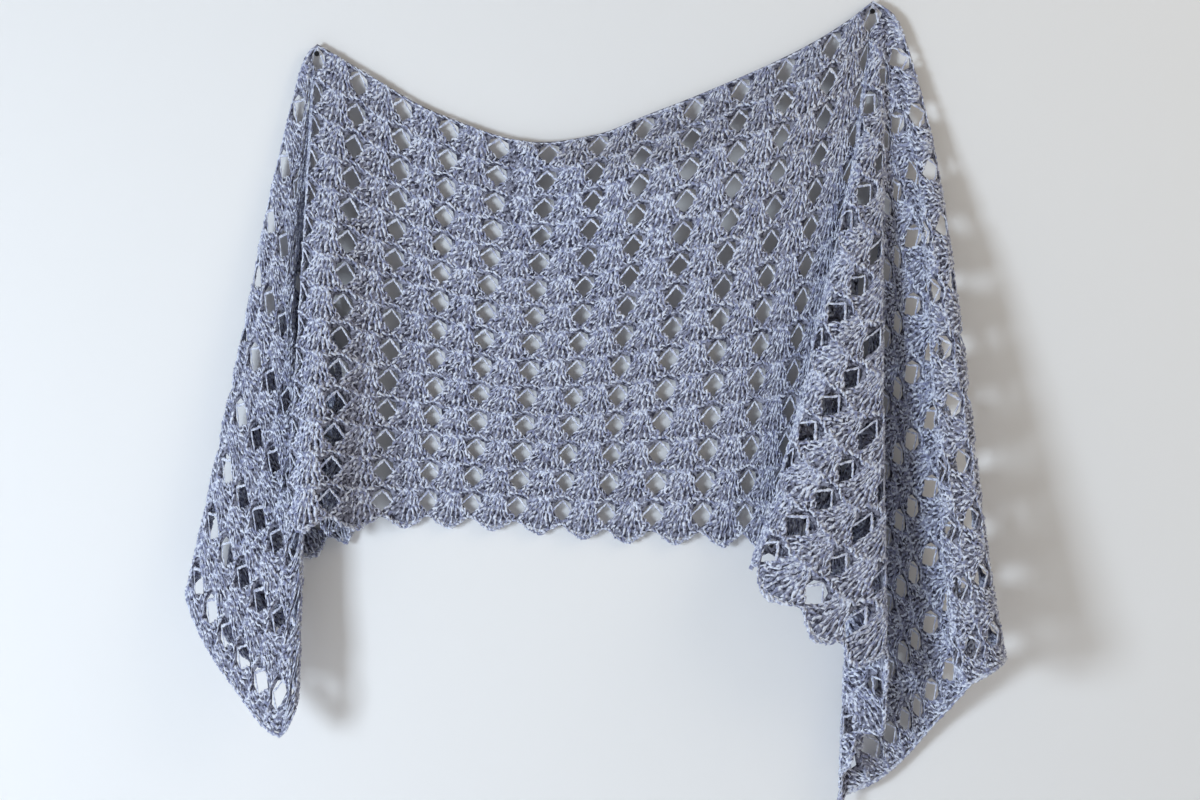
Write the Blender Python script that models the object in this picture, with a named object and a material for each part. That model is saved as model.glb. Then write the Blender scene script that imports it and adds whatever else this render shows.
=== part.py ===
"""Rectangular crochet lace shawl, hung on a wall by two nails through its top long edge.

The shawl is one rectangle of shell stitch, 33 repeats long and 14 rows wide. Between the
nails it hangs as a swag panel, and both ends drop from the nails in soft cascading folds.
The wall is the plane y = 0, the viewer is on the -Y side, and the origin is where the
left nail's axis meets the wall. Tables are in millimetres and the model is in metres.
"""

import math
from collections import namedtuple

import bmesh
import bpy
from mathutils import Vector

MM = 0.001

# The crochet pattern as it lies flat, before its weight stretches it
REPEATS = 33
ROWS = 14
REPEAT_WIDTH = 52.0
ROW_HEIGHT = 32.0
EYELET_HALF_WIDTH = 0.19
EYELET_HALF_HEIGHT = 0.325
MOST_EYELETS_CUT = 300
SCALLOP_DROP = 0.36
END_BORDER = 0.12

# The cloth and how it is split in three solids along two hidden folds
CLOTH_THICKNESS = 2.0
SLOPE_STEP = 0.02
SEAM_GAP = 0.4
SEAM_GATHER = 5.0
SEAM_GATHER_ROWS = 3.0
LEFT_NAIL_REPEAT = 9.5
RIGHT_NAIL_REPEAT = 21.5
LEFT_SEAM_REPEAT = 9
RIGHT_SEAM_REPEAT = 24

# The nails
NAIL_SHANK_RADIUS = 1.2
NAIL_HEAD_RADIUS = 3.0
NAIL_HEAD_THICKNESS = 1.4
NAIL_LENGTH = 15.5
NAIL_HEAD_CHAMFER = (0.6, 0.4)
NAIL_CLEARANCE = 0.7
NAIL_SIDES = 24

# How the folds open out below each nail, as fractions of the length of the drop: where
# they start and where they are full at each end, and how deep they are near the nail
LEFT_OPENING = (0.25, 0.72)
RIGHT_OPENING = (0.15, 0.62)
DEPTH_OPENING = (0.10, 0.45)
NEAR_NAIL_DEPTH = 0.55
GATHER_SPREAD = 0.10
GATHER_LENGTH = 0.012
BOW_FACTOR = 6.75

# x is along the wall, out is the distance from the wall and z is upward, all from the
# left nail's top loop. Each row of a table is one place along an edge of the cloth.
TopRow = namedtuple("TopRow", "repeat x out z")
TOP_EDGE = (
    TopRow(9.5, 0, 8, 0),
    TopRow(10.5, 49, 8, -29),
    TopRow(12.3, 142, 8, -81),
    TopRow(14.3, 258, 10, -114),
    TopRow(15.5, 327, 10, -104),
    TopRow(16.4, 374, 9, -85),
    TopRow(17.6, 443, 8, -58),
    TopRow(19.8, 559, 8, -6),
    TopRow(20.9, 617, 8, 29),
    TopRow(21.5, 643, 8, 50),
)

HemRow = namedtuple("HemRow", "repeat x out z")
CENTRE_HEM = (
    HemRow(9.5, -27, 90, -545),
    HemRow(10.0, -8, 102, -545),
    HemRow(10.5, 19, 84, -545),
    HemRow(11.0, 47, 48, -546),
    HemRow(12.0, 102, 12, -546),
    HemRow(13.0, 152, 9, -547),
    HemRow(14.0, 203, 11, -550),
    HemRow(15.0, 256, 9, -554),
    HemRow(16.0, 307, 11, -559),
    HemRow(17.0, 358, 9, -563),
    HemRow(18.0, 415, 11, -564),
    HemRow(19.0, 469, 12, -566),
    HemRow(20.0, 512, 16, -568),
    HemRow(21.5, 557, 23, -574),
)

# One row for each fold or bend of an end's outer edge. place counts rows down the short
# edge from 0 to 14, and then repeats along the hem back towards the nail. fan is the x
# that its ray makes for close to the nail, where the cloth is gathered but not yet folded.
FoldRow = namedtuple("FoldRow", "place x fan out z early_bow late_bow")
LEFT_FOLDS = (
    FoldRow(0.0, -131, -146, 30, -612, -6, 0),
    FoldRow(0.9, -145, -137, 47, -629, -6, 0),
    FoldRow(2.0, -130, -126, 62, -669, -5, 0),
    FoldRow(4.3, -89, -97, 75, -731, -3, 0),
    FoldRow(7.0, -34, -78, 84, -787, 0, 0),
    FoldRow(7.8, -18, -74, 79, -760, 0, 0),
    FoldRow(8.6, -16, -71, 68, -744, 0, 0),
    FoldRow(9.4, -26, -68, 59, -732, 0, 0),
    FoldRow(10.3, -46, -64, 51, -721, 0, 0),
    FoldRow(11.4, -74, -60, 45, -705, 0, 0),
    FoldRow(12.6, -98, -55, 38, -685, 0, 0),
    FoldRow(13.6, -109, -51, 30, -662, 0, 0),
    FoldRow(14.4, -109, -48, 20, -647, 0, 0),
    FoldRow(15.2, -100, -45, 12, -634, 0, 0),
    FoldRow(16.4, -73, -42, 7, -610, 0, 0),
    FoldRow(17.6, -28, -40, 6, -588, 0, 0),
    FoldRow(19.0, 30, -37, 9, -563, 0, 0),
    FoldRow(19.6, 41, -35, 18, -556, 0, 0),
    FoldRow(20.2, 38, -34, 32, -552, 0, 0),
    FoldRow(21.5, 5, -31, 58, -549, 0, 0),
    FoldRow(22.6, -20, -29, 76, -546, 0, 0),
    FoldRow(23.5, -27, -27, 90, -545, 0, 0),
)
RIGHT_FOLDS = (
    FoldRow(0.0, 766, 780, 96, -690, 26, 0),
    FoldRow(0.8, 780, 771, 116, -697, 25, 0),
    FoldRow(1.8, 764, 761, 138, -709, 23, 0),
    FoldRow(3.0, 735, 748, 140, -724, 18, 0),
    FoldRow(3.8, 725, 742, 122, -727, 16, 0),
    FoldRow(4.8, 742, 736, 98, -716, 14, 0),
    FoldRow(5.9, 762, 730, 72, -712, 11, 0),
    FoldRow(7.2, 744, 724, 43, -742, 5, 0),
    FoldRow(9.0, 708, 714, 21, -786, 0, 0),
    FoldRow(11.0, 680, 702, 14, -819, 0, 0),
    FoldRow(13.0, 641, 685, 16, -850, 0, 0),
    FoldRow(14.0, 610, 675, 20, -861, 0, 0),
    FoldRow(14.5, 603, 671, 29, -846, 0, 0),
    FoldRow(15.0, 604, 667, 42, -822, 0, 0),
    FoldRow(15.6, 626, 662, 53, -790, 0, 0),
    FoldRow(16.4, 650, 656, 64, -760, 0, 0),
    FoldRow(17.4, 651, 648, 80, -700, 0, 0),
    FoldRow(18.4, 603, 622, 97, -688, 0, 4),
    FoldRow(19.5, 552, 587, 102, -646, 0, 10),
    FoldRow(20.5, 505, 564, 84, -600, 0, 15),
    FoldRow(21.1, 503, 560, 68, -585, 0, 15),
    FoldRow(21.7, 530, 559, 57, -587, 0, 13),
    FoldRow(23.3, 600, 559, 49, -598, 0, 3),
    FoldRow(23.8, 608, 558, 41, -598, 0, 2),
    FoldRow(24.4, 596, 558, 31, -594, 0, 1),
    FoldRow(25.5, 557, 557, 23, -574, 0, 0),
)

# The tension fold under the right half of the swag: the repeats where it starts and ends,
# how many rows below the top edge its ridge lies and how far it stands out
TENSION_START = 13.8
TENSION_END = 21.5
TENSION_ROWS = 2.5
TENSION_OUT = 55.0
TENSION_FADE_ROWS = 3.2

# The columns of the centre, and the places along each end's edge, that face the viewer
# and whose eyelets are cut first
CENTRE_SIGHT = (8.5, 22.1)
LEFT_SIGHT = ((0.0, 7.1),)
RIGHT_SIGHT = ((17.2, 20.8), (0.0, 3.6), (6.5, 12.5))


def smooth_step(start, end, value):
    """0 before start, 1 after end, and a soft ramp between."""
    t = min(max((value - start) / (end - start), 0.0), 1.0)
    return t * t * (3.0 - 2.0 * t)


def smooth_curve(knots, values):
    """A function through the points, whose slope never overshoots between two rows."""
    count = len(knots)
    steps = [knots[i + 1] - knots[i] for i in range(count - 1)]
    rises = [(values[i + 1] - values[i]) / steps[i] for i in range(count - 1)]
    slopes = [rises[0]] + [0.0] * (count - 2) + [rises[-1]]
    for i in range(1, count - 1):
        if rises[i - 1] * rises[i] > 0.0:
            slopes[i] = 2.0 * rises[i - 1] * rises[i] / (rises[i - 1] + rises[i])

    def at(place):
        if place <= knots[0]:
            return values[0] + slopes[0] * (place - knots[0])
        if place >= knots[-1]:
            return values[-1] + slopes[-1] * (place - knots[-1])
        i = 0
        while place > knots[i + 1]:
            i += 1
        t = (place - knots[i]) / steps[i]
        start = (1.0 + 2.0 * t) * (1.0 - t) ** 2 * values[i]
        start += t * (1.0 - t) ** 2 * steps[i] * slopes[i]
        end = t * t * (3.0 - 2.0 * t) * values[i + 1]
        end += t * t * (t - 1.0) * steps[i] * slopes[i + 1]
        return start + end

    return at


def table_curves(table):
    """One smooth function for each column of a table, by column name."""
    knots = [row[0] for row in table]
    names = table[0]._fields[1:]
    return {name: smooth_curve(knots, [getattr(row, name) for row in table]) for name in names}


TOP = table_curves(TOP_EDGE)
HEM = table_curves(CENTRE_HEM)
LEFT = table_curves(LEFT_FOLDS)
RIGHT = table_curves(RIGHT_FOLDS)
LEFT_REACH = LEFT_NAIL_REPEAT
RIGHT_REACH = REPEATS - RIGHT_NAIL_REPEAT


def tension_fold(repeat, row):
    """How far the fold under the right half of the swag stands out at one place."""
    span = (repeat - TENSION_START) / (TENSION_END - TENSION_START)
    if span <= 0.0 or span >= 1.0:
        return 0.0
    swell = math.sin(math.pi * span)
    ridge = TENSION_ROWS * swell + 0.05
    if row < ridge:
        return TENSION_OUT * swell * smooth_step(0.0, ridge, row)
    return TENSION_OUT * swell * math.exp(-(((row - ridge) / TENSION_FADE_ROWS) ** 2))


def centre_point(repeat, row):
    """A place on the panel between the nails: straight columns from swag to hem."""
    down = row / ROWS
    point = [TOP[axis](repeat) * (1.0 - down) + HEM[axis](repeat) * down for axis in ("x", "out", "z")]
    point[1] += tension_fold(repeat, row)
    return point


def end_place(across, row, reach):
    """Where the ray from the nail through a place meets the end's edge, and how far along."""
    along_top = across / reach
    along_side = row / ROWS
    if along_top >= along_side:
        return row / along_top if along_top > 0.0 else 0.0, along_top
    return ROWS + reach * (1.0 - along_top / along_side), along_side


def end_point(across, row, reach, folds, nail, opening):
    """A place on an end: rays from the nail to the folded edge, gathered at the nail."""
    place, down = end_place(across, row, reach)
    last = ROWS + reach
    turn = math.atan2(row * ROW_HEIGHT, max(across, 0.0) * REPEAT_WIDTH) / (math.pi / 2.0)
    fan_x = folds["fan"](place) - nail[0]
    width = folds["fan"](0.0) - folds["fan"](last)
    below_nail = place >= last
    folded = 1.0 if below_nail else smooth_step(*opening, down)
    ray_x = fan_x + (folds["x"](place) - nail[0] - fan_x) * folded
    keep = max(1.0 - down, 0.0)
    gather = GATHER_SPREAD * (1.0 - math.exp(-down / GATHER_LENGTH)) * keep * keep
    x = nail[0] + ray_x * down + width * (1.0 - turn) * gather
    x += folds["early_bow"](place) * BOW_FACTOR * down * keep * keep
    x += folds["late_bow"](place) * BOW_FACTOR * down * down * keep * folded
    depth = NEAR_NAIL_DEPTH + (1.0 - NEAR_NAIL_DEPTH) * smooth_step(*DEPTH_OPENING, down)
    if below_nail:
        depth = 1.0
    out = nail[1] + (folds["out"](place) - nail[1]) * down * depth
    z = nail[2] + (folds["z"](place) - nail[2]) * down
    return [x, out, z]


LEFT_NAIL_TOP = [TOP_EDGE[0].x, TOP_EDGE[0].out, TOP_EDGE[0].z]
RIGHT_NAIL_TOP = [TOP_EDGE[-1].x, TOP_EDGE[-1].out, TOP_EDGE[-1].z]


def hung_point(repeat, row):
    """The middle of the cloth's thickness at one place of the pattern, from the top loop."""
    left = LEFT_NAIL_REPEAT - repeat
    right = repeat - RIGHT_NAIL_REPEAT
    if left > 0.0:
        return end_point(left, row, LEFT_REACH, LEFT, LEFT_NAIL_TOP, LEFT_OPENING)
    if right > 0.0:
        return end_point(right, row, RIGHT_REACH, RIGHT, RIGHT_NAIL_TOP, RIGHT_OPENING)
    return centre_point(repeat, row)


def nail_axis(repeat):
    """x and z of the nail, seated under the top corner of this column's first eyelet."""
    corner = hung_point(repeat, 0.5 - EYELET_HALF_HEIGHT)
    corner = Vector((corner[0], corner[2]))
    sides = []
    for side in (-1.0, 1.0):
        x, _, z = hung_point(repeat + side * EYELET_HALF_WIDTH, 0.5)
        sides.append((Vector((x, z)) - corner).normalized())
    middle = (sides[0] + sides[1]).normalized()
    slope = abs(sides[0].x * middle.y - sides[0].y * middle.x)
    return tuple(corner + middle * ((NAIL_SHANK_RADIUS + NAIL_CLEARANCE) / slope))


ORIGIN_X, ORIGIN_Z = nail_axis(LEFT_NAIL_REPEAT)


def world(point):
    """Table millimetres to the model's frame."""
    x, out, z = point
    return Vector(((x - ORIGIN_X) * MM, -out * MM, (z - ORIGIN_Z) * MM))


def make_material(name, colour, roughness, metallic=0.0):
    """A plain Principled material."""
    material = bpy.data.materials.new(name)
    material.use_nodes = True
    shader = material.node_tree.nodes["Principled BSDF"]
    shader.inputs["Base Color"].default_value = (*colour, 1.0)
    shader.inputs["Roughness"].default_value = roughness
    shader.inputs["Metallic"].default_value = metallic
    material.diffuse_color = (*colour, 1.0)
    return material


def in_sight(column, row):
    """The rank of a cell for cutting: 0 for the centre, 1 and 2 for the ends, None if hidden."""
    repeat = column + 0.5
    if CENTRE_SIGHT[0] < repeat < CENTRE_SIGHT[1]:
        return 0
    if repeat < LEFT_NAIL_REPEAT:
        place, _ = end_place(LEFT_NAIL_REPEAT - repeat, row + 0.5, LEFT_REACH)
        return 1 if any(low <= place <= high for low, high in LEFT_SIGHT) else None
    place, _ = end_place(repeat - RIGHT_NAIL_REPEAT, row + 0.5, RIGHT_REACH)
    ranks = [rank for rank, (low, high) in enumerate(RIGHT_SIGHT) if low <= place <= high]
    return 1 + ranks[0] if ranks else None


def cells_to_cut():
    """The cells whose eyelet is cut through, those that the viewer sees best first."""
    ranked = []
    for column in range(REPEATS):
        for row in range(ROWS):
            rank = in_sight(column, row)
            if rank is not None:
                ranked.append((rank, column, row))
    ranked.sort()
    return {(column, row) for _, column, row in ranked[:MOST_EYELETS_CUT]}


def scalloped_row(repeat, row):
    """The hem's rows run down to a point between two columns of eyelets."""
    if row < ROWS:
        return row
    return ROWS + SCALLOP_DROP * abs(math.cos(math.pi * repeat))


def pattern_place(repeat, row, first, last):
    """A grid place with the end border, the scallops and the seam's gap worked in."""
    repeat_at = repeat
    gap = 0.5 * SEAM_GAP / REPEAT_WIDTH * (1.0 + SEAM_GATHER * math.exp(-row / SEAM_GATHER_ROWS))
    if repeat == 0:
        repeat_at = -END_BORDER
    elif repeat == REPEATS:
        repeat_at = REPEATS + END_BORDER
    elif repeat == first:
        repeat_at = repeat + gap
    elif repeat == last:
        repeat_at = repeat - gap
    return repeat_at, scalloped_row(repeat, row)


def hung_normal(repeat, row):
    """The direction across the cloth at one place, from its slopes along and down."""
    along = world(hung_point(repeat + SLOPE_STEP, row)) - world(hung_point(repeat - SLOPE_STEP, row))
    upper = max(row - SLOPE_STEP, 0.5 * SLOPE_STEP)
    down = world(hung_point(repeat, upper + 2.0 * SLOPE_STEP)) - world(hung_point(repeat, upper))
    return along.cross(down).normalized()


def eyelet_rim(column, row):
    """The eight places around a cell's outside, clockwise from its top left corner."""
    left, right = column, column + 1
    top, bottom = row, row + 1
    middle_u, middle_v = column + 0.5, row + 0.5
    upper = [(left, top), (middle_u, top), (right, top), (right, middle_v)]
    return upper + [(right, bottom), (middle_u, bottom), (left, bottom), (left, middle_v)]


def cell_triangles(column, row, is_cut):
    """A cell of the pattern as triangles, around its diamond eyelet where that is cut."""
    rim = eyelet_rim(column, row)
    middle_u, middle_v = column + 0.5, row + 0.5
    if not is_cut:
        return [(rim[i], rim[(i + 1) % 8], (middle_u, middle_v)) for i in range(8)]
    eyelet = [(middle_u, middle_v - EYELET_HALF_HEIGHT), (middle_u + EYELET_HALF_WIDTH, middle_v)]
    eyelet += [(middle_u, middle_v + EYELET_HALF_HEIGHT), (middle_u - EYELET_HALF_WIDTH, middle_v)]
    triangles = []
    for side in range(4):
        start, corner, end = (rim[(2 * side + step) % 8] for step in (1, 2, 3))
        near, far = eyelet[side], eyelet[(side + 1) % 4]
        triangles += [(start, corner, near), (corner, far, near), (corner, end, far)]
    return triangles


def make_cloth(name, first, last, cut, material):
    """One solid of the cloth, from one column of the pattern to another."""
    shape = bmesh.new()
    sides = {}

    def both_sides(repeat, row):
        key = (round(repeat, 4), round(row, 4))
        if key not in sides:
            place = pattern_place(repeat, row, first, last)
            middle = world(hung_point(*place))
            half = hung_normal(*place) * (0.5 * CLOTH_THICKNESS * MM)
            sides[key] = (shape.verts.new(middle + half), shape.verts.new(middle - half))
        return sides[key]

    open_edges = {}
    for column in range(first, last):
        for row in range(ROWS):
            for triangle in cell_triangles(column, row, (column, row) in cut):
                pairs = [both_sides(*place) for place in triangle]
                shape.faces.new([pair[0] for pair in pairs])
                shape.faces.new([pair[1] for pair in reversed(pairs)])
                for pair, following in zip(pairs, pairs[1:] + pairs[:1]):
                    if open_edges.pop((following, pair), None) is None:
                        open_edges[(pair, following)] = True
    for pair, following in open_edges:
        shape.faces.new((pair[0], pair[1], following[1], following[0]))

    bmesh.ops.recalc_face_normals(shape, faces=shape.faces[:])
    mesh = bpy.data.meshes.new(name)
    shape.to_mesh(mesh)
    shape.free()
    mesh.materials.append(material)
    mesh.shade_smooth()
    mesh.set_sharp_from_angle(angle=math.radians(60.0))
    cloth = bpy.data.objects.new(name, mesh)
    bpy.context.collection.objects.link(cloth)
    return cloth


def make_nail(name, repeat, material):
    """A plain round nail with a flat head, its rear end flat on the wall."""
    x, z = nail_axis(repeat)
    head_back = NAIL_LENGTH - NAIL_HEAD_THICKNESS
    profile = [(0.0, 0.0), (NAIL_SHANK_RADIUS, 0.0), (NAIL_SHANK_RADIUS, head_back)]
    inward, back = NAIL_HEAD_CHAMFER
    profile += [(NAIL_HEAD_RADIUS, head_back), (NAIL_HEAD_RADIUS, NAIL_LENGTH - back)]
    profile += [(NAIL_HEAD_RADIUS - inward, NAIL_LENGTH), (0.0, NAIL_LENGTH)]
    shape = bmesh.new()
    ring = [shape.verts.new(Vector((radius * MM, -out * MM, 0.0))) for radius, out in profile]
    edges = [shape.edges.new(pair) for pair in zip(ring[:-1], ring[1:])]
    bmesh.ops.spin(
        shape,
        geom=ring + edges,
        cent=(0.0, 0.0, 0.0),
        axis=(0.0, 1.0, 0.0),
        angle=math.tau,
        steps=NAIL_SIDES,
        use_merge=True,
    )
    bmesh.ops.remove_doubles(shape, verts=shape.verts[:], dist=0.01 * MM)
    bmesh.ops.recalc_face_normals(shape, faces=shape.faces[:])
    mesh = bpy.data.meshes.new(name)
    shape.to_mesh(mesh)
    shape.free()
    mesh.materials.append(material)
    mesh.shade_smooth()
    mesh.set_sharp_from_angle(angle=math.radians(40.0))
    nail = bpy.data.objects.new(name, mesh)
    nail.location = ((x - ORIGIN_X) * MM, 0.0, (z - ORIGIN_Z) * MM)
    bpy.context.collection.objects.link(nail)
    return nail


for old in list(bpy.data.objects):
    bpy.data.objects.remove(old)

YARN = make_material("grey_lavender_yarn", (0.36, 0.36, 0.43), 0.9)
BLACK_METAL = make_material("black_nail", (0.02, 0.02, 0.022), 0.4, 0.8)

CUT = cells_to_cut()
make_cloth("shawl_left_end", 0, LEFT_SEAM_REPEAT, CUT, YARN)
make_cloth("shawl_centre", LEFT_SEAM_REPEAT, RIGHT_SEAM_REPEAT, CUT, YARN)
make_cloth("shawl_right_end", RIGHT_SEAM_REPEAT, REPEATS, CUT, YARN)
make_nail("wall_nail_left", LEFT_NAIL_REPEAT, BLACK_METAL)
make_nail("wall_nail_right", RIGHT_NAIL_REPEAT, BLACK_METAL)
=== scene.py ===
"""A rectangular crochet lace shawl hung on a wall by two nails, in Blender.

The shawl is drawn flat, in its own pattern of shells and eyelets, and then every point
is carried to where it hangs. Tables are in millimetres and the model is in metres.
"""

import math
from collections import namedtuple

import bmesh
import bpy
import numpy as np
from mathutils import Matrix, Vector


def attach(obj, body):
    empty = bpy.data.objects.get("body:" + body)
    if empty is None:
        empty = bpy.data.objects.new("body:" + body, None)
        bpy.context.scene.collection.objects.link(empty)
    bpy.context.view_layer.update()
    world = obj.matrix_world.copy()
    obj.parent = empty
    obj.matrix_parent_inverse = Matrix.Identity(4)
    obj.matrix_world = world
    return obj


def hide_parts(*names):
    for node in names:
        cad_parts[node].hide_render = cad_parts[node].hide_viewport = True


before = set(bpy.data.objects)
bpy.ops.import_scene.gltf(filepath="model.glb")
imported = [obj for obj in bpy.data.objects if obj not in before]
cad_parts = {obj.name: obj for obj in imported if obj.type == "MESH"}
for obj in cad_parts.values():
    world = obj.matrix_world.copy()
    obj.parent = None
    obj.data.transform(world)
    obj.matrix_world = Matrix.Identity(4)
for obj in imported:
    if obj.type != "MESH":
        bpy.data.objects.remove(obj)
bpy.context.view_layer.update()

# The ground of the shawl.
# It stands for the close inner part of the stitches, a thin cloth that every eyelet opens,
# and is coloured dark as painted shade for the shadowed gaps between the stitches. It is
# drawn flat as a grid, opened, hung, and given a thickness.
MM = 0.001
REPEATS = 33
ROWS = 14
REPEAT_WIDTH = 52.0 * MM
ROW_HEIGHT = 32.0 * MM
LEFT_NAIL_REPEAT = 9.5
RIGHT_NAIL_REPEAT = 21.5

# How the folds open out below each nail, as fractions of the length of the drop: where
# they start and where they are full at each end, and how deep they are near the nail
LEFT_OPENING = (0.25, 0.72)
RIGHT_OPENING = (0.15, 0.62)
DEPTH_OPENING = (0.10, 0.45)
NEAR_NAIL_DEPTH = 0.55
GATHER_SPREAD = 0.10
GATHER_LENGTH = 0.012
BOW_FACTOR = 6.75

# x is along the wall, out is the distance from the wall and z is upward, all from the
# left nail's top loop. Each row of a table is one place along an edge of the cloth.
TopRow = namedtuple("TopRow", "repeat x out z")
TOP_EDGE = (
    TopRow(9.5, 0, 8, 0),
    TopRow(10.5, 49, 8, -29),
    TopRow(12.3, 142, 8, -81),
    TopRow(14.3, 258, 10, -114),
    TopRow(15.5, 327, 10, -104),
    TopRow(16.4, 374, 9, -85),
    TopRow(17.6, 443, 8, -58),
    TopRow(19.8, 559, 8, -6),
    TopRow(20.9, 617, 8, 29),
    TopRow(21.5, 643, 8, 50),
)

HemRow = namedtuple("HemRow", "repeat x out z")
CENTRE_HEM = (
    HemRow(9.5, -27, 90, -545),
    HemRow(10.0, -8, 102, -545),
    HemRow(10.5, 19, 84, -545),
    HemRow(11.0, 47, 48, -546),
    HemRow(12.0, 102, 12, -546),
    HemRow(13.0, 152, 9, -547),
    HemRow(14.0, 203, 11, -550),
    HemRow(15.0, 256, 9, -554),
    HemRow(16.0, 307, 11, -559),
    HemRow(17.0, 358, 9, -563),
    HemRow(18.0, 415, 11, -564),
    HemRow(19.0, 469, 12, -566),
    HemRow(20.0, 512, 16, -568),
    HemRow(21.5, 557, 23, -574),
)

# One row for each fold or bend of an end's outer edge. place counts rows down the short
# edge from 0 to 14, and then repeats along the hem back towards the nail. fan is the x
# that its ray makes for close to the nail, where the cloth is gathered but not yet folded.
FoldRow = namedtuple("FoldRow", "place x fan out z early_bow late_bow")
LEFT_FOLDS = (
    FoldRow(0.0, -131, -146, 30, -612, -6, 0),
    FoldRow(0.9, -145, -137, 47, -629, -6, 0),
    FoldRow(2.0, -130, -126, 62, -669, -5, 0),
    FoldRow(4.3, -89, -97, 75, -731, -3, 0),
    FoldRow(7.0, -34, -78, 84, -787, 0, 0),
    FoldRow(7.8, -18, -74, 79, -760, 0, 0),
    FoldRow(8.6, -16, -71, 68, -744, 0, 0),
    FoldRow(9.4, -26, -68, 59, -732, 0, 0),
    FoldRow(10.3, -46, -64, 51, -721, 0, 0),
    FoldRow(11.4, -74, -60, 45, -705, 0, 0),
    FoldRow(12.6, -98, -55, 38, -685, 0, 0),
    FoldRow(13.6, -109, -51, 30, -662, 0, 0),
    FoldRow(14.4, -109, -48, 20, -647, 0, 0),
    FoldRow(15.2, -100, -45, 12, -634, 0, 0),
    FoldRow(16.4, -73, -42, 7, -610, 0, 0),
    FoldRow(17.6, -28, -40, 6, -588, 0, 0),
    FoldRow(19.0, 30, -37, 9, -563, 0, 0),
    FoldRow(19.6, 41, -35, 18, -556, 0, 0),
    FoldRow(20.2, 38, -34, 32, -552, 0, 0),
    FoldRow(21.5, 5, -31, 58, -549, 0, 0),
    FoldRow(22.6, -20, -29, 76, -546, 0, 0),
    FoldRow(23.5, -27, -27, 90, -545, 0, 0),
)
RIGHT_FOLDS = (
    FoldRow(0.0, 766, 780, 96, -690, 26, 0),
    FoldRow(0.8, 780, 771, 116, -697, 25, 0),
    FoldRow(1.8, 764, 761, 138, -709, 23, 0),
    FoldRow(3.0, 735, 748, 140, -724, 18, 0),
    FoldRow(3.8, 725, 742, 122, -727, 16, 0),
    FoldRow(4.8, 742, 736, 98, -716, 14, 0),
    FoldRow(5.9, 762, 730, 72, -712, 11, 0),
    FoldRow(7.2, 744, 724, 43, -742, 5, 0),
    FoldRow(9.0, 708, 714, 21, -786, 0, 0),
    FoldRow(11.0, 680, 702, 14, -819, 0, 0),
    FoldRow(13.0, 641, 685, 16, -850, 0, 0),
    FoldRow(14.0, 610, 675, 20, -861, 0, 0),
    FoldRow(14.5, 603, 671, 29, -846, 0, 0),
    FoldRow(15.0, 604, 667, 42, -822, 0, 0),
    FoldRow(15.6, 626, 662, 53, -790, 0, 0),
    FoldRow(16.4, 650, 656, 64, -760, 0, 0),
    FoldRow(17.4, 651, 648, 80, -700, 0, 0),
    FoldRow(18.4, 603, 622, 97, -688, 0, 4),
    FoldRow(19.5, 552, 587, 102, -646, 0, 10),
    FoldRow(20.5, 505, 564, 84, -600, 0, 15),
    FoldRow(21.1, 503, 560, 68, -585, 0, 15),
    FoldRow(21.7, 530, 559, 57, -587, 0, 13),
    FoldRow(23.3, 600, 559, 49, -598, 0, 3),
    FoldRow(23.8, 608, 558, 41, -598, 0, 2),
    FoldRow(24.4, 596, 558, 31, -594, 0, 1),
    FoldRow(25.5, 557, 557, 23, -574, 0, 0),
)

# The tension fold under the right half of the swag: the repeats where it starts and ends, how
# many rows below the top edge its ridge lies at those ends and how many more in its middle, how
# far it stands out, and over how many rows it fades
TENSION_START = 13.8
TENSION_END = 21.5
TENSION_END_ROWS = 0.05
TENSION_ROWS = 2.5
TENSION_OUT = 55.0
TENSION_FADE_ROWS = 3.2


def smooth_step(start, end, value):
    """0 before start, 1 after end, and a soft ramp between."""
    t = np.clip((value - start) / (end - start), 0.0, 1.0)
    return t * t * (3.0 - 2.0 * t)


def smooth_curve(knots, values):
    """A function through the points, whose slope never overshoots between two rows."""
    knots = np.array(knots, dtype=float)
    values = np.array(values, dtype=float)
    steps = np.diff(knots)
    rises = np.diff(values) / steps
    slopes = np.zeros(len(knots))
    slopes[0], slopes[-1] = rises[0], rises[-1]
    same_way = rises[:-1] * rises[1:] > 0.0
    total = np.where(same_way, rises[:-1] + rises[1:], 1.0)
    slopes[1:-1] = np.where(same_way, 2.0 * rises[:-1] * rises[1:] / total, 0.0)

    def at(place):
        i = np.clip(np.searchsorted(knots, place, side="left") - 1, 0, len(steps) - 1)
        t = (place - knots[i]) / steps[i]
        start = (1.0 + 2.0 * t) * (1.0 - t) ** 2 * values[i]
        start = start + t * (1.0 - t) ** 2 * steps[i] * slopes[i]
        end = t * t * (3.0 - 2.0 * t) * values[i + 1]
        end = end + t * t * (t - 1.0) * steps[i] * slopes[i + 1]
        before = values[0] + slopes[0] * (place - knots[0])
        after = values[-1] + slopes[-1] * (place - knots[-1])
        between = np.where(place < knots[0], before, start + end)
        return np.where(place > knots[-1], after, between)

    return at


def table_curves(table):
    """One smooth function for each column of a table, by column name."""
    knots = [row[0] for row in table]
    names = table[0]._fields[1:]
    return {name: smooth_curve(knots, [getattr(row, name) for row in table]) for name in names}


TOP = table_curves(TOP_EDGE)
HEM = table_curves(CENTRE_HEM)
LEFT = table_curves(LEFT_FOLDS)
RIGHT = table_curves(RIGHT_FOLDS)
LEFT_REACH = LEFT_NAIL_REPEAT
RIGHT_REACH = REPEATS - RIGHT_NAIL_REPEAT


def tension_fold(repeat, row):
    """How far the fold under the right half of the swag stands out."""
    span = np.clip((repeat - TENSION_START) / (TENSION_END - TENSION_START), 0.0, 1.0)
    swell = np.sin(np.pi * span)
    ridge = TENSION_ROWS * swell + TENSION_END_ROWS
    above = smooth_step(0.0, 1.0, row / ridge)
    below = np.exp(-(((row - ridge) / TENSION_FADE_ROWS) ** 2))
    return TENSION_OUT * swell * np.where(row < ridge, above, below)


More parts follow.
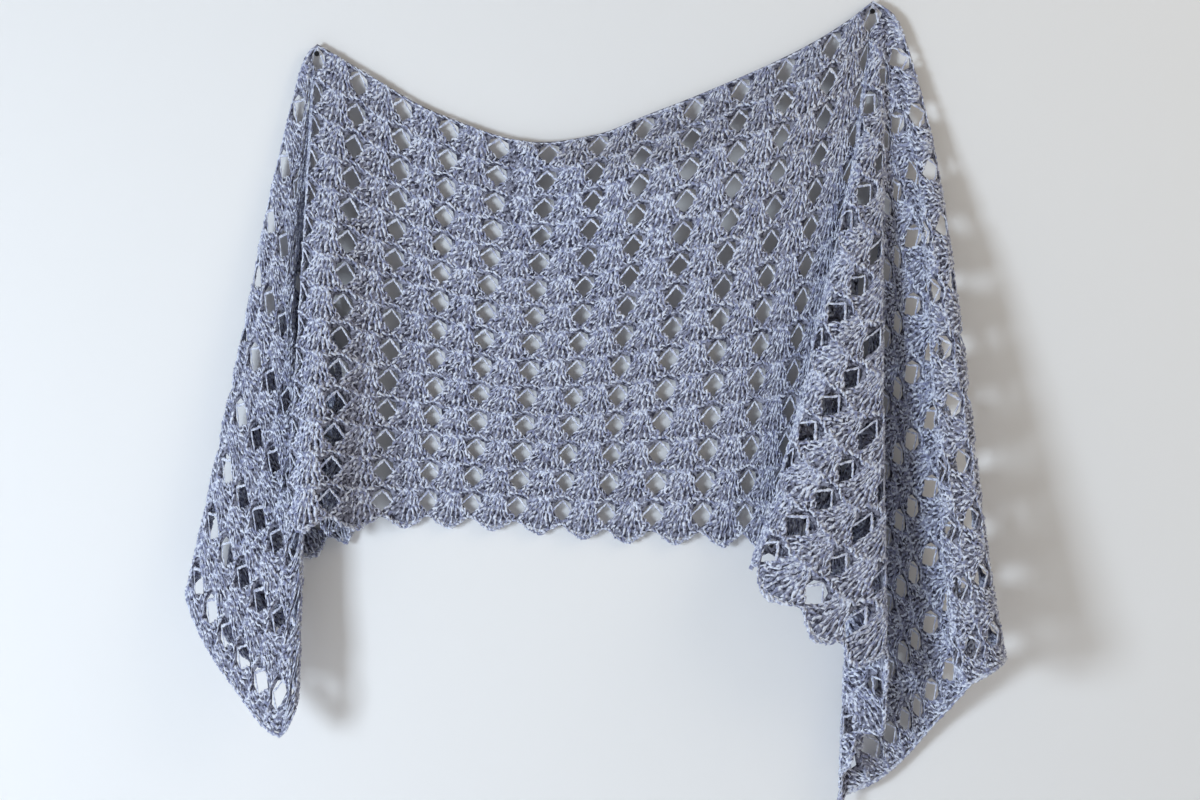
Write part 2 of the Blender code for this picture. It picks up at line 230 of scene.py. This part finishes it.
def centre_points(repeat, row):
    """The panel between the nails: straight columns from swag to hem."""
    down = row / ROWS
    x = TOP["x"](repeat) * (1.0 - down) + HEM["x"](repeat) * down
    out = TOP["out"](repeat) * (1.0 - down) + HEM["out"](repeat) * down
    z = TOP["z"](repeat) * (1.0 - down) + HEM["z"](repeat) * down
    return np.stack((x, out + tension_fold(repeat, row), z), axis=1)


def end_points(across, row, reach, folds, nail, opening):
    """An end: rays from the nail to the folded edge, gathered at the nail."""
    along_top = across / reach
    along_side = row / ROWS
    on_side = along_top >= along_side
    side_place = row / np.where(on_side & (along_top > 0.0), along_top, 1.0)
    hem_place = ROWS + reach * (1.0 - along_top / np.where(on_side, 1.0, along_side))
    place = np.where(on_side, side_place, hem_place)
    down = np.where(on_side, along_top, along_side)
    last = ROWS + reach
    turn = np.arctan2(row * ROW_HEIGHT, np.maximum(across, 0.0) * REPEAT_WIDTH) / (math.pi / 2.0)
    fan_x = folds["fan"](place) - nail.x
    width = folds["fan"](0.0) - folds["fan"](last)
    folded = np.where(place < last, smooth_step(*opening, down), 1.0)
    ray_x = fan_x + (folds["x"](place) - nail.x - fan_x) * folded
    keep = np.maximum(1.0 - down, 0.0)
    gather = GATHER_SPREAD * (1.0 - np.exp(-down / GATHER_LENGTH)) * keep * keep
    x = nail.x + ray_x * down + width * (1.0 - turn) * gather
    x = x + folds["early_bow"](place) * BOW_FACTOR * down * keep * keep
    x = x + folds["late_bow"](place) * BOW_FACTOR * down * down * keep * folded
    depth = NEAR_NAIL_DEPTH + (1.0 - NEAR_NAIL_DEPTH) * smooth_step(*DEPTH_OPENING, down)
    depth = np.where(place < last, depth, 1.0)
    out = nail.out + (folds["out"](place) - nail.out) * down * depth
    z = nail.z + (folds["z"](place) - nail.z) * down
    return np.stack((x, out, z), axis=1)


def hung_points(repeat, row):
    """The middle of the cloth at many places of the pattern, from the top loop."""
    left = end_points(LEFT_NAIL_REPEAT - repeat, row, LEFT_REACH, LEFT, TOP_EDGE[0], LEFT_OPENING)
    right = end_points(
        repeat - RIGHT_NAIL_REPEAT, row, RIGHT_REACH, RIGHT, TOP_EDGE[-1], RIGHT_OPENING
    )
    points = np.where((repeat < LEFT_NAIL_REPEAT)[:, None], left, centre_points(repeat, row))
    return np.where((repeat > RIGHT_NAIL_REPEAT)[:, None], right, points)


# The origin is the left nail's axis, and the nail sits under the top corner of an eyelet.
# The eyelet's half width and half height are fractions of a repeat and of a row.
EYELET_HALF_WIDTH = 0.19
EYELET_HALF_HEIGHT = 0.325
NAIL_SHANK_RADIUS = 1.2
NAIL_CLEARANCE = 0.7
corner_repeats = LEFT_NAIL_REPEAT + EYELET_HALF_WIDTH * np.array((0.0, -1.0, 1.0))
corner_rows = 0.5 - EYELET_HALF_HEIGHT * np.array((1.0, 0.0, 0.0))
corner, left_side, right_side = hung_points(corner_repeats, corner_rows)[:, (0, 2)]
left_side = (left_side - corner) / np.linalg.norm(left_side - corner)
right_side = (right_side - corner) / np.linalg.norm(right_side - corner)
middle = (left_side + right_side) / np.linalg.norm(left_side + right_side)
half_angle_sine = abs(left_side[0] * middle[1] - left_side[1] * middle[0])
nail_from_corner = (NAIL_SHANK_RADIUS + NAIL_CLEARANCE) / half_angle_sine
ORIGIN_X, ORIGIN_Z = corner + middle * nail_from_corner

# How far a scallop reaches below the last row, in rows, and the rows where it starts and is
# full
HEM_POINT = 0.24
HEM_POINT_START = ROWS - 0.6
HEM_POINT_END = ROWS + 0.1

# How handmade stitches stray, by one wave that bends and one that is fine. All are in radians
# to a metre of x or y, apart from bend, which is in radians.
StrayRow = namedtuple("StrayRow", "wide_x wide_y bend bend_x bend_y fine_x fine_y")
STRAY_ALONG = StrayRow(410.0, 0.0, 3.0, 0.0, 170.0, 1250.0, 900.0)
STRAY_UP = StrayRow(0.0, 370.0, 3.0, 150.0, 0.0, -870.0, 1150.0)
STRAY_OUT = StrayRow(760.0, 640.0, 2.6, 210.0, 0.0, 330.0, -1390.0)
STRAY_SIZE = 0.6
STRAY_OUT_SHARE = 0.7

# The part of a repeat and of a row over which the slope of the cloth is taken
SLOPE_STEP = 0.02


def stray(x, y, waves):
    """How far the stitches at flat places stray in one direction, about -1 to 1."""
    bend = waves.bend * np.sin(x * waves.bend_x + y * waves.bend_y)
    wide = np.sin(x * waves.wide_x + y * waves.wide_y + bend)
    fine = np.sin(x * waves.fine_x + y * waves.fine_y)
    return STRAY_SIZE * (wide + fine)


def hang(mesh, wander=0.0):
    """Carries a mesh drawn flat, x along and y up from the top edge, to where it hangs."""
    flat = np.empty(len(mesh.vertices) * 3)
    mesh.vertices.foreach_get("co", flat)
    x, y, height = flat.reshape(-1, 3).T
    repeat = (x + wander * stray(x, y, STRAY_ALONG)) / REPEAT_WIDTH
    row = np.maximum(-(y + wander * stray(x, y, STRAY_UP)) / ROW_HEIGHT, 0.0)
    height = height + STRAY_OUT_SHARE * wander * stray(x, y, STRAY_OUT)
    scallop = np.cos(np.pi * repeat) ** 2 * smooth_step(HEM_POINT_START, HEM_POINT_END, row)
    row = row + HEM_POINT * scallop
    inner = np.maximum(row - SLOPE_STEP, 0.5 * SLOPE_STEP)
    across = hung_points(repeat + SLOPE_STEP, row) - hung_points(repeat - SLOPE_STEP, row)
    fall = hung_points(repeat, inner + 2.0 * SLOPE_STEP) - hung_points(repeat, inner)
    facing = np.cross(fall * (1.0, -1.0, 1.0), across * (1.0, -1.0, 1.0))
    facing /= np.maximum(np.linalg.norm(facing, axis=1), 1e-9)[:, None]
    middle = (hung_points(repeat, row) - (ORIGIN_X, 0.0, ORIGIN_Z)) * (MM, -MM, MM)
    mesh.vertices.foreach_set("co", (middle + facing * height[:, None]).ravel())
    mesh.update()


# Where a grid of quarter cells is opened around each eyelet, and where its rim then lies,
# in fractions of a cell from the cell's top left corner
RimRow = namedtuple("RimRow", "grid_u grid_v u v")
EYELET_RIM = (
    RimRow(0.50, 0.25, 0.50, 0.07),
    RimRow(0.75, 0.25, 0.68, 0.20),
    RimRow(0.75, 0.50, 0.72, 0.49),
    RimRow(0.75, 0.75, 0.62, 0.68),
    RimRow(0.50, 0.75, 0.50, 0.84),
    RimRow(0.25, 0.75, 0.38, 0.68),
    RimRow(0.25, 0.50, 0.28, 0.49),
    RimRow(0.25, 0.25, 0.33, 0.22),
)
GROUND_THICKNESS = 1.5 * MM
QUARTERS = 4


def put_in_scene(name, mesh):
    """A new object that holds a mesh, at the origin."""
    piece = bpy.data.objects.new(name, mesh)
    bpy.context.scene.collection.objects.link(piece)
    return piece


ground_shape = bmesh.new()
bmesh.ops.create_grid(
    ground_shape, x_segments=REPEATS * QUARTERS, y_segments=ROWS * QUARTERS, size=0.5
)
bmesh.ops.translate(ground_shape, verts=ground_shape.verts, vec=(0.5, -0.5, 0.0))
bmesh.ops.scale(ground_shape, verts=ground_shape.verts, vec=(REPEATS, ROWS, 1.0))
in_eyelet = []
for face in ground_shape.faces:
    centre = face.calc_center_median()
    if max(abs(centre.x % 1.0 - 0.5), abs(-centre.y % 1.0 - 0.5)) < 1.0 / QUARTERS:
        in_eyelet.append(face)
bmesh.ops.delete(ground_shape, geom=in_eyelet, context="FACES")
rim_places = {(row.grid_u, row.grid_v): (row.u, row.v) for row in EYELET_RIM}
for vert in ground_shape.verts:
    column = math.floor(vert.co.x)
    row = math.floor(-vert.co.y)
    key = (round(vert.co.x - column, 2), round(-vert.co.y - row, 2))
    if key in rim_places:
        vert.co.x = column + rim_places[key][0]
        vert.co.y = -(row + rim_places[key][1])
bmesh.ops.scale(ground_shape, verts=ground_shape.verts, vec=(REPEAT_WIDTH, ROW_HEIGHT, 1.0))
ground_mesh = bpy.data.meshes.new("shawl_ground_painted_shade")
ground_shape.to_mesh(ground_mesh)
ground_shape.free()
hang(ground_mesh)
ground_mesh.shade_smooth()
ground = put_in_scene("shawl_ground_painted_shade", ground_mesh)
wall = ground.modifiers.new("Ground thickness", "SOLIDIFY")
wall.thickness = GROUND_THICKNESS
wall.offset = 0.0


GROOVE_DEPTH = 0.6 * MM


def yarn_material(name, colour, dark, roughness, sheen, blotch, grain):
    """Plied yarn: paler and darker blotches, a soft halo, and fine grooves between plies."""
    material = bpy.data.materials.new(name)
    material.use_nodes = True
    nodes, links = material.node_tree.nodes, material.node_tree.links
    shader = nodes["Principled BSDF"]
    shader.inputs["Roughness"].default_value = roughness
    shader.inputs["Sheen Weight"].default_value = sheen
    shader.inputs["Sheen Roughness"].default_value = 0.5
    shader.inputs["Specular IOR Level"].default_value = 0.25
    place = nodes.new("ShaderNodeTexCoord")
    mottle = nodes.new("ShaderNodeTexNoise")
    mottle.inputs["Scale"].default_value = blotch
    mottle.inputs["Detail"].default_value = 4.0
    links.new(place.outputs["Object"], mottle.inputs["Vector"])
    blend = nodes.new("ShaderNodeValToRGB")
    blend.color_ramp.elements[0].position = 0.40
    blend.color_ramp.elements[0].color = (*dark, 1.0)
    blend.color_ramp.elements[1].position = 0.60
    blend.color_ramp.elements[1].color = (*colour, 1.0)
    links.new(mottle.outputs["Fac"], blend.inputs["Fac"])
    links.new(blend.outputs["Color"], shader.inputs["Base Color"])
    fibres = nodes.new("ShaderNodeTexNoise")
    fibres.inputs["Scale"].default_value = grain
    fibres.inputs["Detail"].default_value = 3.0
    links.new(place.outputs["Object"], fibres.inputs["Vector"])
    groove = nodes.new("ShaderNodeBump")
    groove.inputs["Strength"].default_value = 0.5
    groove.inputs["Distance"].default_value = GROOVE_DEPTH
    links.new(fibres.outputs["Fac"], groove.inputs["Height"])
    links.new(groove.outputs["Normal"], shader.inputs["Normal"])
    return material


# A darkened copy of the yarn for the ground: painted shade for the gaps between stitches.
ground_yarn_painted_shade = yarn_material(
    "ground_yarn_painted_shade",
    colour=(0.28, 0.29, 0.38),
    dark=(0.03, 0.03, 0.05),
    roughness=0.95,
    sheen=0.1,
    blotch=260.0,
    grain=500.0,
)
ground_mesh.materials.append(ground_yarn_painted_shade)
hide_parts("shawl_left_end", "shawl_centre", "shawl_right_end")
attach(ground, "root")

# The shells.
# Each is a fan of tall double crochets worked into one stitch and spreading towards the
# hem. A double crochet is yarn wrapped round itself, so each post is a twisted pair.
YARN_RADIUS = 1.3 * MM
POST_TWIST = 1.35 * MM
TWIST_UNEVENNESS = 0.7
TWIST_RHYTHM = 2.3

# The four posts on one side of a shell: share is how far out each stands, from the middle to
# the shell's edge, turns is how often its yarn is wrapped, and start_angle is in radians
PostRow = namedtuple("PostRow", "share turns start_angle")
POSTS = (
    PostRow(0.13, 2.6, 0.0),
    PostRow(0.41, 3.2, 1.9),
    PostRow(0.69, 2.4, 3.8),
    PostRow(0.95, 3.0, 5.7),
)
OTHER_SIDE_ANGLE = 1.3
POST_STEPS = 11
POST_WIDENING = 0.45
POST_START = 0.01
POST_END = 1.10
POST_END_RISE = 0.19

# How wide the shell is at each level of its row, as a fraction of a repeat from its middle
WidthRow = namedtuple("WidthRow", "level half_width")
SHELL_WIDTHS = (
    WidthRow(0.00, 0.14),
    WidthRow(0.15, 0.20),
    WidthRow(0.30, 0.24),
    WidthRow(0.50, 0.27),
    WidthRow(0.68, 0.36),
    WidthRow(0.82, 0.445),
    WidthRow(1.15, 0.50),
)
SHELL = table_curves(SHELL_WIDTHS)


def twisted_pair(curve, path, turns, spread, start_angle=0.0, widening=0.0):
    """Adds two strands that wind round a path of flat points, as splines of a curve."""
    steps = len(path) - 1
    for strand in range(2):
        spline = curve.splines.new("POLY")
        spline.points.add(steps)
        for i, (x, y, z) in enumerate(path):
            before = path[max(i - 1, 0)]
            after = path[min(i + 1, steps)]
            run_x, run_y = after[0] - before[0], after[1] - before[1]
            run = math.hypot(run_x, run_y)
            angle = start_angle + math.pi * strand + math.tau * turns * i / steps
            angle += TWIST_UNEVENNESS * math.sin(TWIST_RHYTHM * i + start_angle)
            side = spread * math.cos(angle) * (1.0 + widening * i / steps)
            x, y = x - run_y / run * side, y + run_x / run * side
            spline.points[i].co = (x, y, z + spread * math.sin(angle), 1.0)


def strand_curve(name, radius):
    """An empty curve whose strands get a thickness."""
    curve = bpy.data.curves.new(name, "CURVE")
    curve.dimensions = "3D"
    curve.bevel_depth = radius
    curve.bevel_resolution = 0
    return curve


def mesh_of_curve(curve):
    """The strands of a curve as a mesh."""
    holder = bpy.data.objects.new(curve.name, curve)
    bpy.context.scene.collection.objects.link(holder)
    finished = holder.evaluated_get(bpy.context.evaluated_depsgraph_get())
    mesh = bpy.data.meshes.new_from_object(finished)
    bpy.data.objects.remove(holder)
    bpy.data.curves.remove(curve)
    return mesh


def post_path(side, share):
    """The path of one post in a cell, from the shell at its left or its right side."""
    end = POST_END - POST_END_RISE * share * share
    path = []
    for i in range(POST_STEPS + 1):
        level = POST_START + (end - POST_START) * i / POST_STEPS
        out = share * float(SHELL["half_width"](level))
        u = out if side == 0 else 1.0 - out
        path.append((u * REPEAT_WIDTH, -level * ROW_HEIGHT, 0.0))
    return path


cell_curve = strand_curve("shell_cell", YARN_RADIUS)
for side in (0, 1):
    for post in POSTS:
        path = post_path(side, post.share)
        start_angle = post.start_angle + OTHER_SIDE_ANGLE * side
        twisted_pair(cell_curve, path, post.turns, POST_TWIST, start_angle, POST_WIDENING)

# The loops that close the posts' heads, from the middle of one shell to the next
HEAD_STEPS = 20
HEAD_TURNS = 6.0
HEAD_LEVEL = 1.11
HEAD_RISE = 0.2
HEAD_OUT = 0.3 * MM
HEAD_TWIST = 2.0 * MM
head_path = []
for i in range(HEAD_STEPS + 1):
    u = i / HEAD_STEPS
    share = min(u, 1.0 - u) / 0.5
    level = HEAD_LEVEL - HEAD_RISE * share * share
    head_path.append((u * REPEAT_WIDTH, -level * ROW_HEIGHT, HEAD_OUT))
twisted_pair(cell_curve, head_path, HEAD_TURNS, HEAD_TWIST)

cell_mesh = mesh_of_curve(cell_curve)

lit_yarn = yarn_material(
    "lit_yarn",
    colour=(0.82, 0.87, 1.0),
    dark=(0.26, 0.28, 0.44),
    roughness=0.8,
    sheen=0.35,
    blotch=240.0,
    grain=900.0,
)

# The shells are made in five groups of repeats, so that no piece is too heavy
SHELL_GROUPS = ((0, 7), (7, 14), (14, 21), (21, 27), (27, 33))
STITCH_WANDER = 0.9 * MM


def repeat_flat(mesh, first, last):
    """Copies of a flat mesh along some repeats and down all rows, as one mesh."""
    pattern = put_in_scene("pattern", mesh.copy())
    pattern.data.transform(Matrix.Translation((first * REPEAT_WIDTH, 0.0, 0.0)))
    along = (last - first, (REPEAT_WIDTH, 0.0, 0.0))
    down = (ROWS, (0.0, -ROW_HEIGHT, 0.0))
    for count, step in (along, down):
        copies = pattern.modifiers.new("Copies", "ARRAY")
        copies.count = count
        copies.use_relative_offset = False
        copies.use_constant_offset = True
        copies.constant_offset_displace = step
    finished = pattern.evaluated_get(bpy.context.evaluated_depsgraph_get())
    joined = bpy.data.meshes.new_from_object(finished)
    bpy.data.objects.remove(pattern)
    return joined


def hang_stitches(name, mesh, material, wander=0.0):
    """Hangs stitches drawn flat, as a piece of the shawl."""
    hang(mesh, wander)
    mesh.name = name
    mesh.shade_smooth()
    mesh.materials.clear()
    mesh.materials.append(material)
    piece = put_in_scene(name, mesh)
    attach(piece, "root")


for first, last in SHELL_GROUPS:
    name = f"shells_{first + 1}_to_{last}"
    hang_stitches(name, repeat_flat(cell_mesh, first, last), lit_yarn, STITCH_WANDER)

# The eyelet chains.
# Thin stitches in the same yarn lie as an inverted V along the two upper sides of each
# eyelet. They are drawn as a chain on the face of the cloth, coloured a little paler than the
# shells as a painted highlight.
CHAIN_RADIUS = 0.8 * MM
CHAIN_TWIST = 0.6 * MM
CHAIN_OUT = 0.6 * MM
CHAIN_TURNS = 2.0
CHAIN_STEPS = 6
CHAIN_WANDER = 0.5 * STITCH_WANDER

# The top of the V, and how far each leg goes sideways and down, in fractions of a cell
CHAIN_TOP = (0.5, 0.11)
CHAIN_LEG = (0.21, 0.38)
arch_curve = strand_curve("eyelet_chain", CHAIN_RADIUS)
for sideways in (-1.0, 1.0):
    arch = []
    for i in range(CHAIN_STEPS + 1):
        u = CHAIN_TOP[0] + sideways * CHAIN_LEG[0] * i / CHAIN_STEPS
        v = CHAIN_TOP[1] + CHAIN_LEG[1] * i / CHAIN_STEPS
        arch.append((u * REPEAT_WIDTH, -v * ROW_HEIGHT, CHAIN_OUT))
    twisted_pair(arch_curve, arch, CHAIN_TURNS, CHAIN_TWIST)
# A paler copy of the shell yarn: painted highlight on the thin chain strands.
chain_yarn_painted_highlight = yarn_material(
    "chain_yarn_painted_highlight",
    colour=(0.82, 0.87, 1.0),
    dark=(0.44, 0.47, 0.64),
    roughness=0.8,
    sheen=0.35,
    blotch=240.0,
    grain=900.0,
)
chain_mesh = repeat_flat(mesh_of_curve(arch_curve), 0, REPEATS)
hang_stitches("eyelet_chains", chain_mesh, chain_yarn_painted_highlight, CHAIN_WANDER)

# The edges.
# A foundation chain runs along the top, and a chain strand binds the ends of the rows at
# each short edge. They are thicker twisted strands that follow the edge.
EDGE_YARN_RADIUS = 1.3 * MM
EDGE_TWIST = 1.2 * MM
TOP_CHAIN_DROP = 1.6 * MM
TOP_STEPS = 12
TOP_TURNS = 4.0
END_CHAIN_OUTSIDE = 2.0 * MM
END_STEPS = 8
END_TURNS = 2.5


def edge_strand(name, path, turns):
    """A twisted pair along a path on the flat pattern, hung as the rest is."""
    curve = strand_curve(name, EDGE_YARN_RADIUS)
    twisted_pair(curve, path, turns, EDGE_TWIST)
    hang_stitches(name, mesh_of_curve(curve), lit_yarn)


top_path = []
for i in range(REPEATS * TOP_STEPS + 1):
    top_path.append((REPEAT_WIDTH * i / TOP_STEPS, -TOP_CHAIN_DROP, 0.0))
edge_strand("top_chain", top_path, REPEATS * TOP_TURNS)

end_places = {
    "left_end_chain": -END_CHAIN_OUTSIDE,
    "right_end_chain": REPEATS * REPEAT_WIDTH + END_CHAIN_OUTSIDE,
}
for name, x in end_places.items():
    end_path = []
    for i in range(ROWS * END_STEPS + 1):
        end_path.append((x, -ROW_HEIGHT * i / END_STEPS, 0.0))
    edge_strand(name, end_path, ROWS * END_TURNS)

# The wall nails.
# Plain round nails with flat heads, painted black, one through a top eyelet at each end
# of the swag.
nail_paint = bpy.data.materials.new("black_nail_paint")
nail_paint.use_nodes = True
nail_shader = nail_paint.node_tree.nodes["Principled BSDF"]
nail_shader.inputs["Base Color"].default_value = (0.012, 0.012, 0.014, 1.0)
nail_shader.inputs["Metallic"].default_value = 0.6
nail_shader.inputs["Roughness"].default_value = 0.42
for name in ("wall_nail_left", "wall_nail_right"):
    for slot_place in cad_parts[name].material_slots:
        slot_place.material = nail_paint

# The backdrop.
# A plain white wall behind the shawl and a pale floor well below it. Neither is part of
# the object, and the wall can be seen through from behind.
WALL_SIZE = (6.0, 4.0)
WALL_CENTRE = (0.33, 0.001, 0.3)
FLOOR_SIZE = (6.0, 6.0)
FLOOR_CENTRE = (0.33, -3.0, -1.7)


def plain_sheet(name, size):
    """A flat stage sheet, facing up."""
    shape = bmesh.new()
    bmesh.ops.create_grid(shape, x_segments=1, y_segments=1, size=0.5)
    bmesh.ops.scale(shape, verts=shape.verts, vec=(*size, 1.0))
    mesh = bpy.data.meshes.new(name)
    shape.to_mesh(mesh)
    shape.free()
    return put_in_scene(name, mesh)


wall_paint = bpy.data.materials.new("wall_paint")
wall_paint.use_nodes = True
wall_nodes, wall_links = wall_paint.node_tree.nodes, wall_paint.node_tree.links
wall_shader = wall_nodes["Principled BSDF"]
wall_shader.inputs["Base Color"].default_value = (0.88, 0.88, 0.89, 1.0)
wall_shader.inputs["Roughness"].default_value = 0.9
clear = wall_nodes.new("ShaderNodeBsdfTransparent")
from_behind = wall_nodes.new("ShaderNodeNewGeometry")
choose = wall_nodes.new("ShaderNodeMixShader")
wall_links.new(from_behind.outputs["Backfacing"], choose.inputs["Fac"])
wall_links.new(wall_shader.outputs["BSDF"], choose.inputs[1])
wall_links.new(clear.outputs["BSDF"], choose.inputs[2])
wall_links.new(choose.outputs["Shader"], wall_nodes["Material Output"].inputs["Surface"])

backdrop = plain_sheet("backdrop_wall", WALL_SIZE)
backdrop.data.materials.append(wall_paint)
backdrop.rotation_euler = (math.radians(90.0), 0.0, 0.0)
backdrop.location = WALL_CENTRE
floor = plain_sheet("floor", FLOOR_SIZE)
floor.data.materials.append(wall_paint)
floor.location = FLOOR_CENTRE

# The light and the camera.
# Soft, cool light comes from a window at the left, and a little warm light from the room
# at the right. The camera stands square to the wall.
LightRow = namedtuple("LightRow", "name place aim size power colour")
LIGHTS = (
    LightRow(
        name="window_light",
        place=Vector((-1.75, -2.35, -0.75)),
        aim=Vector((1.1, 0.0, -0.3)),
        size=0.8,
        power=62.0,
        colour=(0.78, 0.89, 1.0),
    ),
    LightRow(
        name="room_light",
        place=Vector((2.3, -1.5, 0.7)),
        aim=Vector((0.3, 0.0, -0.3)),
        size=1.4,
        power=12.0,
        colour=(1.0, 0.88, 0.68),
    ),
)
ROOM_COLOUR = (1.0, 0.96, 0.91, 1.0)
ROOM_STRENGTH = 0.31
for row in LIGHTS:
    light = bpy.data.lights.new(row.name, "AREA")
    light.shape = "SQUARE"
    light.size = row.size
    light.energy = row.power
    light.color = row.colour
    lamp = bpy.data.objects.new(row.name, light)
    lamp.location = row.place
    lamp.rotation_euler = (row.aim - row.place).to_track_quat("-Z", "Y").to_euler()
    bpy.context.scene.collection.objects.link(lamp)

world = bpy.data.worlds.new("room")
world.use_nodes = True
sky = world.node_tree.nodes["Background"]
sky.inputs["Color"].default_value = ROOM_COLOUR
sky.inputs["Strength"].default_value = ROOM_STRENGTH
bpy.context.scene.world = world
bpy.context.scene.view_settings.view_transform = "Standard"

# The image is 1200 x 800 pixels, and pixels are counted from its top left corner
IMAGE_WIDTH = 1200.0
IMAGE_CENTRE = (600.0, 400.0)
METRES_PER_PIXEL = 1.16 * MM
LEFT_NAIL_PIXEL = (318.0, 45.0)
CAMERA_DISTANCE = 3.2
SENSOR_WIDTH = 36.0
camera_data = bpy.data.cameras.new("camera")
camera_data.sensor_width = SENSOR_WIDTH
camera_data.lens = SENSOR_WIDTH * CAMERA_DISTANCE / (IMAGE_WIDTH * METRES_PER_PIXEL)
camera = bpy.data.objects.new("camera", camera_data)
camera.location = (
    (IMAGE_CENTRE[0] - LEFT_NAIL_PIXEL[0]) * METRES_PER_PIXEL,
    -CAMERA_DISTANCE,
    -(IMAGE_CENTRE[1] - LEFT_NAIL_PIXEL[1]) * METRES_PER_PIXEL - ORIGIN_Z * MM,
)
camera.rotation_euler = (math.radians(90.0), 0.0, 0.0)
bpy.context.scene.collection.objects.link(camera)
bpy.context.scene.camera = camera
